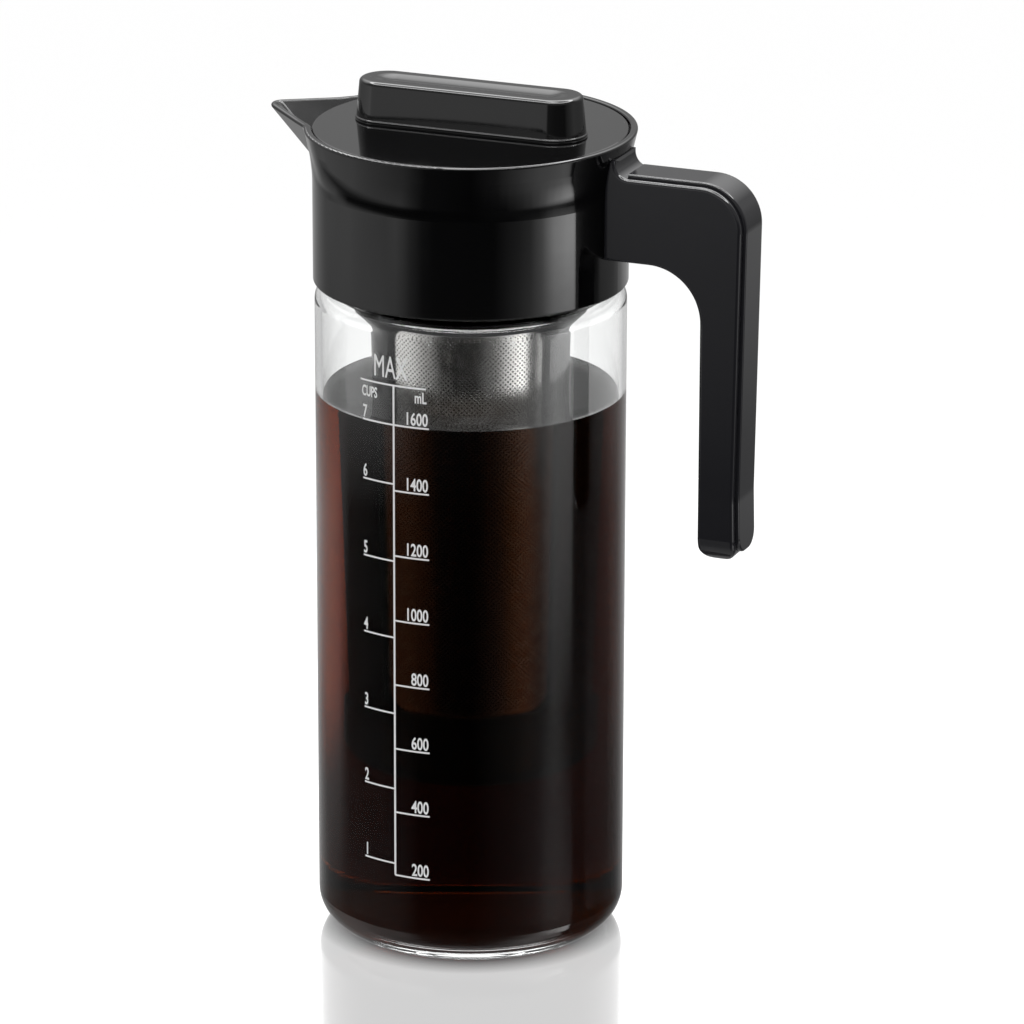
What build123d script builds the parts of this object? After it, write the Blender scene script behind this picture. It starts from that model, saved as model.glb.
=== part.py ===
from build123d import *
import os
from math import atan, cos, hypot, radians, sin, tan

os.makedirs("parts", exist_ok=True)

# A cold brew pitcher in millimetres. The origin is the centre of the glass base, on the table.
# +Z is up, the handle points to +X and the spout to -X.

# Glass carafe
glass_radius = 54.5
glass_wall = 2.5
floor_thickness = 5.0
floor_dome = 1.2
heel_radius = 12.0
shoulder_height = 237.0
shoulder_radius = 6.0
shoulder_step = 8.0
neck_length = 18.0
bead_thickness = 7.0
bead_width = 2.5

# Collar
collar_clearance = 0.5
collar_wall = 2.5
collar_lift = 1.0
collar_height = 54.8
rim_flare = 3.0
rim_land = 2.8
flare_height = 12.9
flare_reach = 6.9
rim_rounding = 0.8
shelf_thickness = 2.5
lid_ledge_depth = 3.1

# Spout
spout_reach = 20.0
spout_half_angle = 43.5
spout_rise = 1.2
spout_keel_slope = 0.956
spout_keel_radius = 7.0
spout_blend = 5.0
spout_wall = 2.2
spout_side_lean = 0.575
spout_inset = 7.5
channel_depth = 15.8

# Seal between glass and collar, and the ring that holds them together
gasket_thickness = 1.5
gasket_overhang = 0.2
clamp_thickness = 4.0
clamp_bite = 0.6
clamp_gap = 8.0
clamp_clearance = 0.2

# Handle
handle_width = 20.6
arm_drop = 10.5
arm_depth = 29.5
handle_reach = 49.0
handle_drop = 133.3
grip_depth = 13.6
grip_waist = 1.8
grip_waist_rise = 23.0
grip_end_narrowing = 1.3
outer_corner = 15.0
inner_corner = 19.0
waist_blend = 60.0
end_corner = 5.0
end_round = 9.0
end_sink = 1.0
saddle_rise = 6.3
saddle_blend = 5.0
saddle_foot = 0.4
handle_edge = 1.2
handle_wall = 3.0
hollow_width = 12.0
hollow_floor = 9.0

# Cover strip of the handle
cover_width = 15.8
cover_depth = 2.0
cover_proud = 1.3
cover_inset = 6.5
cover_end_gap = 2.6
cover_end_radius = 6.0
cover_clearance = 0.1
cover_edge = 0.8
clip_thickness = 1.4
clip_depth = 5.0
clip_length = 8.0
clip_drops = (50.3, 82.3, 114.3)

# Spigot on the collar inside the handle's arm, and its screws
spigot_length = 9.0
spigot_width = 11.4
spigot_floor_gap = 5.0
spigot_roof_gap = 4.5
spigot_clearance = 0.3
web_thickness = 3.2
handle_screw_inset = 4.8
handle_screw_radius = 2.0
handle_screw_head = 3.8
handle_screw_head_height = 2.4
handle_screw_grip = 8.0
screw_clearance = 0.05
screw_hole_clearance = 0.3

# Filter
filter_length = 194.0
filter_ring_radius = 39.0
filter_wall = 2.0
filter_ring_rise = 4.0
filter_ring_height = 40.5
filter_flare_height = 8.0
filter_top_radius = 35.0
filter_low_radius = 31.6
rib_thickness = 1.8
window_angles = (-69.0, 111.0)
window_spread = 107.3
lower_ring_height = 12.0
window_gap = 1.9
window_corner = 6.0
lug_angles = (-113.0, -23.0, 67.0, 157.0)
lug_width = 14.0
lug_thickness = 2.5
lug_rest = 6.0
rest_gap = 0.3
mesh_wall = 0.4
mesh_gap = 0.05
mesh_overlap = 0.7
mesh_lift = 2.0
cup_wall = 1.4
cup_grip = 7.0
cup_depth = 14.0
cup_floor = 2.2
cup_ledge = 0.4
cup_rounding = 6.0

# Lid
lid_clearance = 0.3
lid_thickness = 2.3
lid_drop = 0.5
lid_edge = 0.5
plug_clearance = 2.3
plug_wall = 3.2
plug_roof = 2.2
plug_depth = 19.0
pour_window_width = 30.0
pour_window_height = 9.0
pour_window_drop = 3.0
pour_window_corner = 2.0
seal_lift = 1.2
seal_height = 3.4
seal_groove_depth = 1.2
seal_gap = 0.3

# Knob
knob_length = 83.6
knob_width = 21.2
knob_height = 14.6
knob_draft = 2.2
knob_wall = 2.2
knob_top_edge = 1.6
knob_lip = 0.5
knob_lip_height = 1.2
knob_channel_length = 67.0
knob_channel_width = 10.0
knob_channel_depth = 1.2
knob_boss_radius = 3.6
lid_screw_spacing = 44.0
lid_screw_radius = 1.5
lid_screw_head = 2.9
lid_screw_head_height = 2.2
lid_screw_length = 13.0

# Places that follow from the sizes above: the glass
glass_bore = glass_radius - glass_wall
neck_radius = glass_radius - shoulder_step
neck_bore = neck_radius - glass_wall
bead_height = shoulder_height + neck_length
lip_height = bead_height + bead_thickness

# The collar
collar_radius = glass_radius + collar_clearance
collar_bore = collar_radius - collar_wall
collar_bottom = shoulder_height + collar_lift
rim_radius = collar_radius + rim_flare
rim_height = collar_bottom + collar_height
flare_start = rim_height - flare_height
flare_angle = atan(rim_flare / flare_height)
flare_blend = flare_reach / tan(flare_angle / 2)
flare_foot = flare_start - flare_reach
shelf_bottom = lip_height + gasket_thickness
shelf_top = shelf_bottom + shelf_thickness
ledge_height = rim_height - lid_ledge_depth
spout_apex = rim_radius + spout_reach
channel_floor = rim_height - channel_depth
clamp_bottom = bead_height - clamp_thickness
clamp_radius = collar_bore + clamp_bite

# The handle
arm_top = rim_height - arm_drop
arm_bottom = arm_top - arm_depth
grip_outer_top = collar_radius + handle_reach
grip_outer_low = grip_outer_top - grip_waist
grip_outer_end = grip_outer_top - grip_end_narrowing
grip_inner = grip_outer_end - grip_depth
grip_bottom = arm_top - handle_drop
grip_waist_height = grip_bottom + grip_waist_rise
saddle_height = arm_top + saddle_rise
hollow_bottom = grip_bottom + hollow_floor
cover_start = collar_radius + cover_inset
cover_bottom = grip_bottom + cover_end_gap
spigot_reach = collar_radius + spigot_length
spigot_low = arm_bottom + spigot_floor_gap
spigot_high = arm_top - spigot_roof_gap
web_start = spigot_reach + spigot_clearance
web_end = web_start + web_thickness
screw_depth = spigot_reach - handle_screw_grip
handle_screw_heights = (spigot_low + handle_screw_inset, spigot_high - handle_screw_inset)

# The filter
filter_top = shelf_top + filter_ring_rise
filter_ring_bottom = filter_top - filter_ring_height
filter_flare_bottom = filter_ring_bottom - filter_flare_height
frame_bottom = filter_top - filter_length
window_bottom = frame_bottom + lower_ring_height
window_top = filter_ring_bottom - window_gap
lug_reach = neck_bore + lug_rest
mesh_top = window_top + mesh_overlap
mesh_bottom = frame_bottom + mesh_lift
cup_radius = filter_low_radius + cup_wall
cup_top = frame_bottom + cup_grip
cup_bottom = frame_bottom - cup_depth

# The lid
lid_top_height = rim_height - lid_drop
lid_under = lid_top_height - lid_thickness
lid_seat_radius = rim_radius - rim_land
lid_radius = lid_seat_radius - lid_clearance
plug_radius = collar_bore - plug_clearance
plug_bottom = lid_under - plug_depth
pour_window_top = lid_under - pour_window_drop
pour_window_bottom = pour_window_top - pour_window_height
seal_low = plug_bottom + seal_lift


def rounded_face(corners):
    """A flat face through corners given as (x, y) or (x, y, rounding)."""
    face = make_face(Polyline([corner[:2] for corner in corners], close=True))
    for corner in corners:
        if len(corner) == 3:
            nearest = min(
                face.vertices(),
                key=lambda v: hypot(v.X - corner[0], v.Y - corner[1]),
            )
            face = fillet(nearest, corner[2])
    return face


def turned(corners):
    """A solid of revolution about Z from corners given as (radius, height, rounding)."""
    return revolve(Plane.XZ * rounded_face(corners), Axis.Z)


def slab(corners, width):
    """A side outline in X and Z, given its width evenly about Y = 0."""
    return extrude(Plane.XZ * rounded_face(corners), width / 2, both=True)


def block(low, high):
    """A rectangular block between two opposite corners."""
    size = [b - a for a, b in zip(low, high)]
    middle = [(a + b) / 2 for a, b in zip(low, high)]
    return Pos(*middle) * Box(*size)


def upright(radius, low, high):
    """A round bar along Z between two heights."""
    return Pos(0, 0, (low + high) / 2) * Cylinder(radius, high - low)


def lengthwise(radius, start, end, height):
    """A round bar along X between two distances, at a height."""
    return Pos((start + end) / 2, 0, height) * Rot(0, 90, 0) * Cylinder(radius, end - start)


def glass_carafe():
    """A straight cylinder with a rounded heel, a shoulder and a beaded neck."""
    inner_shoulder = shoulder_height - glass_wall
    step = glass_radius - neck_radius
    return turned(
        [
            (0, 0),
            (glass_radius, 0, heel_radius),
            (glass_radius, shoulder_height, shoulder_radius),
            (neck_radius, shoulder_height, step - shoulder_radius - 0.1),
            (neck_radius, bead_height, 0.5),
            (neck_radius + bead_width, bead_height, 0.8),
            (neck_radius + bead_width, lip_height, 1.2),
            (neck_bore, lip_height, 0.8),
            (neck_bore, inner_shoulder, step - shoulder_radius + glass_wall - 0.1),
            (glass_bore, inner_shoulder, shoulder_radius - glass_wall),
            (glass_bore, floor_thickness, heel_radius - glass_wall),
            (0, floor_thickness + floor_dome),
        ]
    )


def neck_gasket():
    """A flat washer on the lip of the glass."""
    return turned(
        [
            (neck_bore + gasket_overhang, lip_height, 0.3),
            (neck_radius + bead_width + gasket_overhang, lip_height, 0.3),
            (neck_radius + bead_width + gasket_overhang, shelf_bottom, 0.3),
            (neck_bore + gasket_overhang, shelf_bottom, 0.3),
        ]
    )


def neck_clamp_ring():
    """A split ring under the bead, whose outer edge sits in the collar's groove."""
    ring = turned(
        [
            (neck_radius + clamp_clearance, clamp_bottom, 0.4),
            (clamp_radius, clamp_bottom, 0.4),
            (clamp_radius, bead_height, 0.4),
            (neck_radius + clamp_clearance, bead_height, 0.4),
        ]
    )
    gap = block(
        (0, -clamp_gap / 2, clamp_bottom - 1),
        (collar_radius, clamp_gap / 2, bead_height + 1),
    )
    return ring - gap


def spout_wedge(low, high, shift, keel_radius):
    """A wedge whose level cuts are alike triangles; its keel rises towards the tip."""
    base = -(collar_bore - spout_inset)
    slope = tan(radians(spout_half_angle))

    def level(height):
        apex = -spout_apex + shift + (rim_height - height) * spout_keel_slope
        half = (base - apex) * slope
        outline = Polyline([(apex, 0), (base, half), (base, -half)], close=True)
        return Pos(0, 0, height) * make_face(outline)

    wedge = loft([level(low), level(high)], ruled=True)
    keel = min(
        [e for e in wedge.edges() if abs(e.center().Y) < 0.01 and e.length > high - low],
        key=lambda e: e.center().X,
    )
    return fillet(keel, keel_radius)


def spout_top_cut():
    """What lies above the spout's top, which rises a little towards the tip."""
    start = -rim_radius
    end = -(spout_apex + 4)
    rise = spout_rise * (end - start) / (start + spout_apex)
    return slab(
        [
            (0, rim_height),
            (start, rim_height),
            (end, rim_height - rise),
            (end, rim_height + 20),
            (0, rim_height + 20),
        ],
        4 * rim_radius,
    )


def collar_shell():
    """Collar with flared rim, spout, inner shelf, clamp groove and the handle's spigot."""
    keel_foot = rim_height - (spout_apex - collar_bore) / spout_keel_slope
    top = rim_height + 4
    groove_top = bead_height + clamp_clearance / 2
    groove_bottom = clamp_bottom - clamp_clearance / 2
    wall = turned(
        [
            (collar_bore, collar_bottom, 0.5),
            (collar_radius, collar_bottom, 0.8),
            (collar_radius, flare_start, flare_blend),
            (rim_radius, rim_height),
            (lid_seat_radius, rim_height),
            (lid_seat_radius, ledge_height),
            (collar_bore, ledge_height),
            (collar_bore, shelf_top),
            (neck_bore, shelf_top, 0.5),
            (neck_bore, shelf_bottom, 0.5),
            (collar_bore, shelf_bottom),
            (collar_bore, groove_top),
            (clamp_radius + clamp_clearance, groove_top),
            (clamp_radius + clamp_clearance, groove_bottom),
            (collar_bore, groove_bottom),
        ]
    )
    spout = spout_wedge(keel_foot, top, 0, spout_keel_radius)
    spout -= upright(collar_bore + 1, keel_foot - 1, top + 1)
    spout -= spout_top_cut()
    shell = wall + spout
    root = [
        e
        for e in shell.edges()
        if e.center().X < 2 - collar_bore
        and keel_foot - 3 < e.center().Z < rim_height - 0.2
        and collar_radius - 0.2 < hypot(e.center().X, e.center().Y) < rim_radius + 2
        and e.length > spout_blend / 2
    ]
    shell = fillet(root, spout_blend)
    wall_shift = spout_wall / spout_side_lean
    shell -= spout_wedge(channel_floor, top, wall_shift, spout_keel_radius / 2)
    shell -= upright(lid_seat_radius, ledge_height, top)
    shell -= upright(collar_bore, shelf_top, top)
    brim = [
        e
        for e in shell.edges()
        if min(v.Z for v in e.vertices()) > rim_height - 0.05
        and not (e.geom_type == GeomType.LINE and abs(e.center().X + rim_radius) < 0.5)
    ]
    shell = fillet(brim, rim_rounding)
    shell += block(
        (collar_bore + 1, -spigot_width / 2, spigot_low),
        (spigot_reach, spigot_width / 2, spigot_high),
    )
    for height in handle_screw_heights:
        hole = handle_screw_radius + screw_clearance
        shell -= lengthwise(hole, screw_depth - 0.5, spigot_reach + 1, height)
    return shell


def collar_cut():
    """The collar's outer form in short straight steps just outside it, for the handle's root."""

    def radius(height):
        rise = max(0, height - flare_foot)
        return collar_radius + screw_clearance + rise**2 / (2 * flare_blend)

    top = rim_height - 2.5
    steps = [flare_foot + (top - flare_foot) * i / 3 for i in range(4)]
    return turned(
        [
            (0, arm_bottom - 5),
            (radius(0), arm_bottom - 5),
            *[(radius(height), height) for height in steps],
            (0, top),
        ]
    )


def handle_outer_line(offset):
    """Corners of the handle's top and outer line, moved outwards by an offset."""
    return [
        (grip_outer_top + offset, arm_top + offset, outer_corner + offset),
        (grip_outer_low + offset, grip_waist_height, waist_blend),
    ]


def handle_body():
    """An L-shaped handle, hollow and open along its top and outer side."""
    body = slab(
        [
            (collar_bore - 2, saddle_height),
            (rim_radius - saddle_foot, saddle_height),
            (rim_radius - saddle_foot, arm_top, saddle_blend),
            *handle_outer_line(0),
            (grip_outer_end, grip_bottom, end_corner),
            (grip_inner, grip_bottom, end_corner),
            (grip_inner, arm_bottom, inner_corner),
            (collar_bore - 2, arm_bottom),
        ],
        handle_width,
    )
    side = handle_width / 2
    front = Plane.YZ * rounded_face(
        [
            (-side, grip_bottom - end_sink, end_round),
            (side, grip_bottom - end_sink, end_round),
            (side, saddle_height + 5),
            (-side, saddle_height + 5),
        ]
    )
    body &= extrude(front, grip_outer_top + 20)
    edges = [
        e
        for e in body.edges()
        if e.center().X > collar_bore - 1.5
        and not (e.geom_type == GeomType.LINE and abs(e.center().Y) < 0.01)
        and (abs(abs(e.center().Y) - side) < 0.01 or e.center().Z < grip_bottom + side)
    ]
    body = fillet(edges, handle_edge)
    body -= collar_cut()
    body -= cover_strip(0)
    floor = arm_bottom + handle_wall
    hollow = slab(
        [
            (web_end, arm_top + 10),
            (web_end, floor, 2.0),
            (grip_inner + handle_wall, floor, inner_corner - handle_wall),
            (grip_inner + handle_wall, hollow_bottom, 2.0),
            (grip_outer_top + 10, hollow_bottom),
            (grip_outer_top + 10, arm_top + 10),
        ],
        hollow_width,
    )
    body -= hollow
    gap = spigot_clearance
    body -= block(
        (collar_bore, -spigot_width / 2 - gap, spigot_low - gap),
        (spigot_reach + gap, spigot_width / 2 + gap, spigot_high + gap),
    )
    for height in handle_screw_heights:
        hole = handle_screw_radius + screw_hole_clearance
        body -= lengthwise(hole, web_start - 1, web_end + 1, height)
    return body


def cover_strip(growth):
    """The cover's plain form: it follows the handle's outer line. A clearance shrinks it."""
    half = cover_width / 2 - growth
    strip = slab(
        [
            (cover_start + growth, arm_top - cover_depth + growth),
            *handle_outer_line(-cover_depth + growth)[:1],
            (grip_outer_low - cover_depth + growth, grip_waist_height, waist_blend),
            (grip_outer_end - cover_depth + growth, cover_bottom + growth),
            (grip_outer_end + cover_proud, cover_bottom + growth),
            *reversed(handle_outer_line(cover_proud)),
            (cover_start + growth, arm_top + cover_proud),
        ],
        2 * half,
    )
    front = Plane.YZ * rounded_face(
        [
            (-half, cover_bottom + growth, cover_end_radius),
            (half, cover_bottom + growth, cover_end_radius),
            (half, arm_top + 10),
            (-half, arm_top + 10),
        ]
    )
    return strip & extrude(front, grip_outer_top + 10)


def handle_cover():
    """The strip with rounded outer edges, and snap legs that reach into the hollow."""
    strip = cover_strip(cover_clearance)
    outer = [
        e
        for e in strip.edges()
        if (abs(e.center().Y) > cover_width / 4 or e.center().Z < cover_bottom + 3)
        and (e.center().Z > arm_top + cover_proud / 2 or e.center().X > grip_outer_low + 0.4)
    ]
    strip = fillet(outer, cover_edge)
    inside = hollow_width / 2 - cover_clearance
    leg_end = grip_outer_low - cover_depth - clip_depth
    for drop in clip_drops:
        height = arm_top - drop
        leg = block(
            (leg_end, inside - clip_thickness, height - clip_length / 2),
            (grip_outer_low, inside, height + clip_length / 2),
        )
        strip += leg
        strip += mirror(leg, Plane.XZ)
    return strip


def handle_screws():
    """Two screws from inside the handle's hollow into the collar's spigot."""
    screws = []
    for height in handle_screw_heights:
        shank = lengthwise(handle_screw_radius, screw_depth, web_end, height)
        head = lengthwise(handle_screw_head, web_end, web_end + handle_screw_head_height, height)
        screws.append(shank + head)
    return Compound(children=screws)


def filter_frame():
    """A ring on four lugs, and two wide ribs that taper down to a lower ring."""
    inner_low = filter_low_radius - rib_thickness
    inner_top = filter_top_radius - rib_thickness
    frame = turned(
        [
            (filter_ring_radius, filter_top, 0.6),
            (filter_ring_radius, filter_ring_bottom, 1.0),
            (filter_top_radius, filter_flare_bottom, 6.0),
            (filter_low_radius, window_bottom - 2),
            (filter_low_radius, frame_bottom),
            (inner_low, frame_bottom),
            (inner_low, window_bottom - 2),
            (inner_top, filter_flare_bottom, 6.0),
            (filter_ring_radius - filter_wall, filter_ring_bottom + 1.2, 1.0),
            (filter_ring_radius - filter_wall, filter_top, 0.6),
        ]
    )
    lug_low = shelf_top + rest_gap
    for angle in lug_angles:
        lug = block(
            (filter_ring_radius - filter_wall / 2, -lug_width / 2, lug_low),
            (lug_reach + 2, lug_width / 2, lug_low + lug_thickness),
        )
        frame += Rot(0, 0, angle) * (lug & upright(lug_reach, lug_low - 1, filter_top))
    reach = sin(radians(window_spread / 2))
    half_low, half_top = filter_low_radius * reach, filter_top_radius * reach
    for angle in window_angles:
        turn = radians(angle)
        outward = Plane(
            origin=(0, 0, 0),
            x_dir=(-sin(turn), cos(turn), 0),
            z_dir=(cos(turn), sin(turn), 0),
        )
        window = Polygon(
            (-half_low, window_bottom),
            (half_low, window_bottom),
            (half_top, window_top),
            (-half_top, window_top),
            align=None,
        )
        window = fillet(window.vertices(), window_corner)
        frame -= extrude(outward * window, filter_ring_radius + 2)
    return frame


def filter_mesh():
    """A thin steel sleeve inside the ribs. Its holes are too fine to cut here."""
    low = filter_low_radius - rib_thickness - mesh_gap
    top = filter_top_radius - rib_thickness - mesh_gap
    return turned(
        [
            (low, mesh_bottom),
            (low, window_bottom - 2),
            (top, filter_flare_bottom),
            (top, mesh_top),
            (top - mesh_wall, mesh_top),
            (top - mesh_wall, filter_flare_bottom),
            (low - mesh_wall, window_bottom - 2),
            (low - mesh_wall, mesh_bottom),
        ]
    )


def filter_bottom_cup():
    """A cup round the frame's lower ring; the ring stands on a ledge in it."""
    seat = filter_low_radius + mesh_gap
    inner = filter_low_radius - rib_thickness - cup_ledge
    return turned(
        [
            (0, cup_bottom),
            (cup_radius, cup_bottom, cup_rounding),
            (cup_radius, cup_top, 0.6),
            (seat, cup_top, 0.4),
            (seat, frame_bottom),
            (inner, frame_bottom),
            (inner, cup_bottom + cup_floor, cup_rounding - cup_floor),
            (0, cup_bottom + cup_floor),
        ]
    )


def lid_gasket():
    """A ring in the plug's groove that reaches almost to the collar's bore."""
    inner = plug_radius - seal_groove_depth + seal_gap
    return turned(
        [
            (inner, seal_low + seal_gap),
            (plug_radius + 0.3, seal_low + seal_gap),
            (collar_bore - seal_gap, seal_low + seal_height / 2 - 0.4, 0.3),
            (collar_bore - seal_gap, seal_low + seal_height / 2 + 0.4, 0.3),
            (plug_radius + 0.3, seal_low + seal_height - seal_gap),
            (inner, seal_low + seal_height - seal_gap),
        ]
    )


def lid_screw_places():
    """Middles of the two screws between lid and knob."""
    return [(-lid_screw_spacing / 2, 0), (lid_screw_spacing / 2, 0)]


def lid_plug():
    """A skirt with a roof, a groove for the gasket and a pouring window towards the spout."""
    groove = plug_radius - seal_groove_depth
    plug = turned(
        [
            (0, lid_under),
            (plug_radius, lid_under),
            (plug_radius, seal_low + seal_height),
            (groove, seal_low + seal_height),
            (groove, seal_low),
            (plug_radius, seal_low),
            (plug_radius, plug_bottom, 0.3),
            (plug_radius - plug_wall, plug_bottom, 0.3),
            (plug_radius - plug_wall, lid_under - plug_roof, 1.0),
            (0, lid_under - plug_roof),
        ]
    )
    towards_spout = Plane(
        origin=(0, 0, (pour_window_bottom + pour_window_top) / 2),
        x_dir=(0, 1, 0),
        z_dir=(-1, 0, 0),
    )
    window = RectangleRounded(
        pour_window_width, pour_window_top - pour_window_bottom, pour_window_corner
    )
    plug -= extrude(towards_spout * window, plug_radius + 5)
    hole = lid_screw_radius + screw_hole_clearance
    for x, y in lid_screw_places():
        plug -= Pos(x, y, 0) * upright(hole, lid_under - plug_roof - 1, lid_under + 1)
    return plug


def lid_top():
    """A flat disc that fills the collar's seat."""
    disc = turned(
        [
            (0, lid_under),
            (lid_radius, lid_under, lid_edge),
            (lid_radius, lid_top_height, lid_edge),
            (0, lid_top_height),
        ]
    )
    hole = lid_screw_radius + screw_hole_clearance
    for x, y in lid_screw_places():
        disc -= Pos(x, y, 0) * upright(hole, lid_under - 1, lid_top_height + 1)
    return disc


def lid_knob():
    """A hollow bar with a lip at its foot, drafted sides and a channel in its top."""
    foot = Pos(0, 0, lid_top_height)
    grip = extrude(foot * SlotOverall(knob_length, knob_width), knob_height, taper=knob_draft)
    top = lid_top_height + knob_height
    channel = extrude(
        Pos(0, 0, top) * SlotOverall(knob_channel_length, knob_channel_width),
        -knob_channel_depth,
        taper=30,
    )
    grip = fillet(grip.faces().sort_by(Axis.Z)[-1].edges(), knob_top_edge)
    grip -= channel
    lip = extrude(
        foot * SlotOverall(knob_length + 2 * knob_lip, knob_width + 2 * knob_lip), knob_lip_height
    )
    lip = fillet(lip.faces().sort_by(Axis.Z)[-1].edges(), knob_lip * 0.8)
    hollow = extrude(
        foot * SlotOverall(knob_length - 2 * knob_wall, knob_width - 2 * knob_wall),
        knob_height - knob_channel_depth - knob_wall,
        taper=knob_draft,
    )
    knob = (grip + lip) - hollow
    boss_top = top - knob_channel_depth - knob_wall / 2
    for x, y in lid_screw_places():
        knob += Pos(x, y, 0) * upright(knob_boss_radius, lid_top_height, boss_top)
    reach = lid_under - plug_roof + lid_screw_length + 0.5
    for x, y in lid_screw_places():
        hole = lid_screw_radius + screw_clearance
        knob -= Pos(x, y, 0) * upright(hole, lid_top_height - 1, reach)
    return knob


def lid_screws():
    """Two screws from below, through the plug's roof and the disc, into the knob."""
    screws = []
    seat = lid_under - plug_roof
    for x, y in lid_screw_places():
        shank = upright(lid_screw_radius, seat, seat + lid_screw_length)
        head = upright(lid_screw_head, seat - lid_screw_head_height, seat)
        screws.append(Pos(x, y, 0) * (shank + head))
    return Compound(children=screws)


pieces = (
    glass_carafe,
    neck_gasket,
    neck_clamp_ring,
    collar_shell,
    handle_body,
    handle_cover,
    handle_screws,
    filter_frame,
    filter_mesh,
    filter_bottom_cup,
    lid_gasket,
    lid_plug,
    lid_top,
    lid_knob,
    lid_screws,
)
for make in pieces:
    export_step(make(), f"parts/{make.__name__}.step")
    print("wrote", make.__name__)
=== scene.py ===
import bmesh
import bpy
import numpy as np
from math import pi, radians, sin, tan
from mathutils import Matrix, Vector


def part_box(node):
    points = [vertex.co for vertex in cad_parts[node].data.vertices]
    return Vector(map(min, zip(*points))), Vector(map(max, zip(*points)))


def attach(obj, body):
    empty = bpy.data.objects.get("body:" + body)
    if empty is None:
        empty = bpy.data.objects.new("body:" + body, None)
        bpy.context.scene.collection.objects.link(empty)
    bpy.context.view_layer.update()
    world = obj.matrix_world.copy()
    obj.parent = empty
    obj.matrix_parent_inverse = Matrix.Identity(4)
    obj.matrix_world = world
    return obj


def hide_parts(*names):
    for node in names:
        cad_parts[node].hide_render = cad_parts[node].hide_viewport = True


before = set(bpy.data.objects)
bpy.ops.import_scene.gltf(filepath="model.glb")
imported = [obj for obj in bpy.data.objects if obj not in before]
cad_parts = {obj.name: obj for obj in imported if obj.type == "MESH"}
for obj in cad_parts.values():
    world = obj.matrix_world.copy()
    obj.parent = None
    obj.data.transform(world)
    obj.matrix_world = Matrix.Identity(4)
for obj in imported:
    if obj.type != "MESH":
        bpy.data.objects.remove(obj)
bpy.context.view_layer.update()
print("frame loaded")

mm = 0.001

meshing = {
    "stepAngle": 7.5,       # degrees between the points of a rounding
    "fewestSteps": 3,
    "edgeGap": 0.25,        # mm from the end of a straight run to its extra point
    "longRun": 5,           # edge gaps; only a longer run gets extra points
    "merge": 1e-7,          # metres within which two points become one
}


def roundedPath(corners, stepAngle=meshing["stepAngle"]):
    # corners are (across, up) or (across, up, rounding); a rounded one becomes an arc that touches
    # both of its sides, with its centre radius / sin(half the angle) off on the line between them
    points = np.array([corner[:2] for corner in corners], float)
    path = []
    for i, corner in enumerate(corners):
        here = points[i]
        if len(corner) == 2:
            path.append(here[None])
            continue
        radius = corner[2]
        toLast = points[i - 1] - here
        toNext = points[i + 1] - here
        toLast /= np.linalg.norm(toLast)
        toNext /= np.linalg.norm(toNext)
        half = np.arccos(np.clip(toLast @ toNext, -1, 1)) / 2
        middle = toLast + toNext
        centre = here + middle / np.linalg.norm(middle) * radius / sin(half)
        start = here + toLast * radius / tan(half) - centre
        end = here + toNext * radius / tan(half) - centre
        swept = pi - 2 * half
        steps = max(meshing["fewestSteps"], int(np.ceil(np.degrees(swept) / stepAngle)))
        t = np.linspace(0, 1, steps + 1)[:, None]
        arc = (np.sin((1 - t) * swept) * start + np.sin(t * swept) * end) / sin(swept)
        path.append(centre + arc)
    return np.vstack(path)


def withEdgeRings(path):
    # a long straight run gets one more point near each end, so its shading stays flat
    gap = meshing["edgeGap"]
    out = []
    for a, b in zip(path[:-1], path[1:]):
        out.append(a[None])
        run = np.linalg.norm(b - a)
        if run > meshing["longRun"] * gap:
            out.append(a + (b - a) * np.array([[gap / run], [1 - gap / run]]))
    out.append(path[-1:])
    return np.vstack(out)


def carriedRound(path, sides):
    # each (radius, height) becomes a ring: radius x cosine, radius x sine and the height
    angle = np.linspace(0, 2 * pi, sides, endpoint=False)
    radius, height = path[:, :1], path[:, 1:]
    return np.stack([radius * np.cos(angle), radius * np.sin(angle), height + 0 * angle], 2)


def intoScene(name, data):
    # a new object in the scene for the mesh, letters, lamp or camera
    made = bpy.data.objects.new(name, data)
    bpy.context.scene.collection.objects.link(made)
    return made


def shadeFaces(mesh, smooth):
    # all faces smooth, or all of them flat
    mesh.polygons.foreach_set("use_smooth", np.full(len(mesh.polygons), smooth))


def finishMesh(name, mesh):
    # loose points go, doubles merge, faces are turned outwards by the sign of the volume
    work = bmesh.new()
    work.from_mesh(mesh)
    bmesh.ops.delete(work, geom=[v for v in work.verts if not v.link_faces], context="VERTS")
    bmesh.ops.remove_doubles(work, verts=work.verts, dist=meshing["merge"])
    if work.calc_volume(signed=True) < 0:
        bmesh.ops.reverse_faces(work, faces=work.faces)
    work.to_mesh(mesh)
    work.free()
    shadeFaces(mesh, True)
    return intoScene(name, mesh)


def ringMesh(name, rings, poles=(False, False)):
    # rings[u, v] in millimetres, each closed on itself; neighbours make four-sided faces, and a
    # first or last ring that is a pole is one point with a fan round it
    rows, cols = rings.shape[:2]
    index = np.arange(rows * cols).reshape(rows, cols)
    around = np.arange(cols)
    onward = (around + 1) % cols
    between = np.arange(int(poles[0]), rows - 1 - int(poles[1]))
    row, col = [grid.ravel() for grid in np.meshgrid(between, around, indexing="ij")]
    nextCol = onward[col]
    corners = [index[row, col], index[row, nextCol], index[row + 1, nextCol], index[row + 1, col]]
    faces = np.stack(corners, 1).tolist()
    if poles[0]:
        first = np.full(cols, index[0, 0])
        faces += np.stack([first, index[1, onward], index[1, around]], 1).tolist()
    if poles[1]:
        last = np.full(cols, index[-1, 0])
        faces += np.stack([index[-2, around], index[-2, onward], last], 1).tolist()
    mesh = bpy.data.meshes.new(name)
    mesh.from_pydata((rings.reshape(-1, 3) * mm).tolist(), [], faces)
    return finishMesh(name, mesh)


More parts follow.
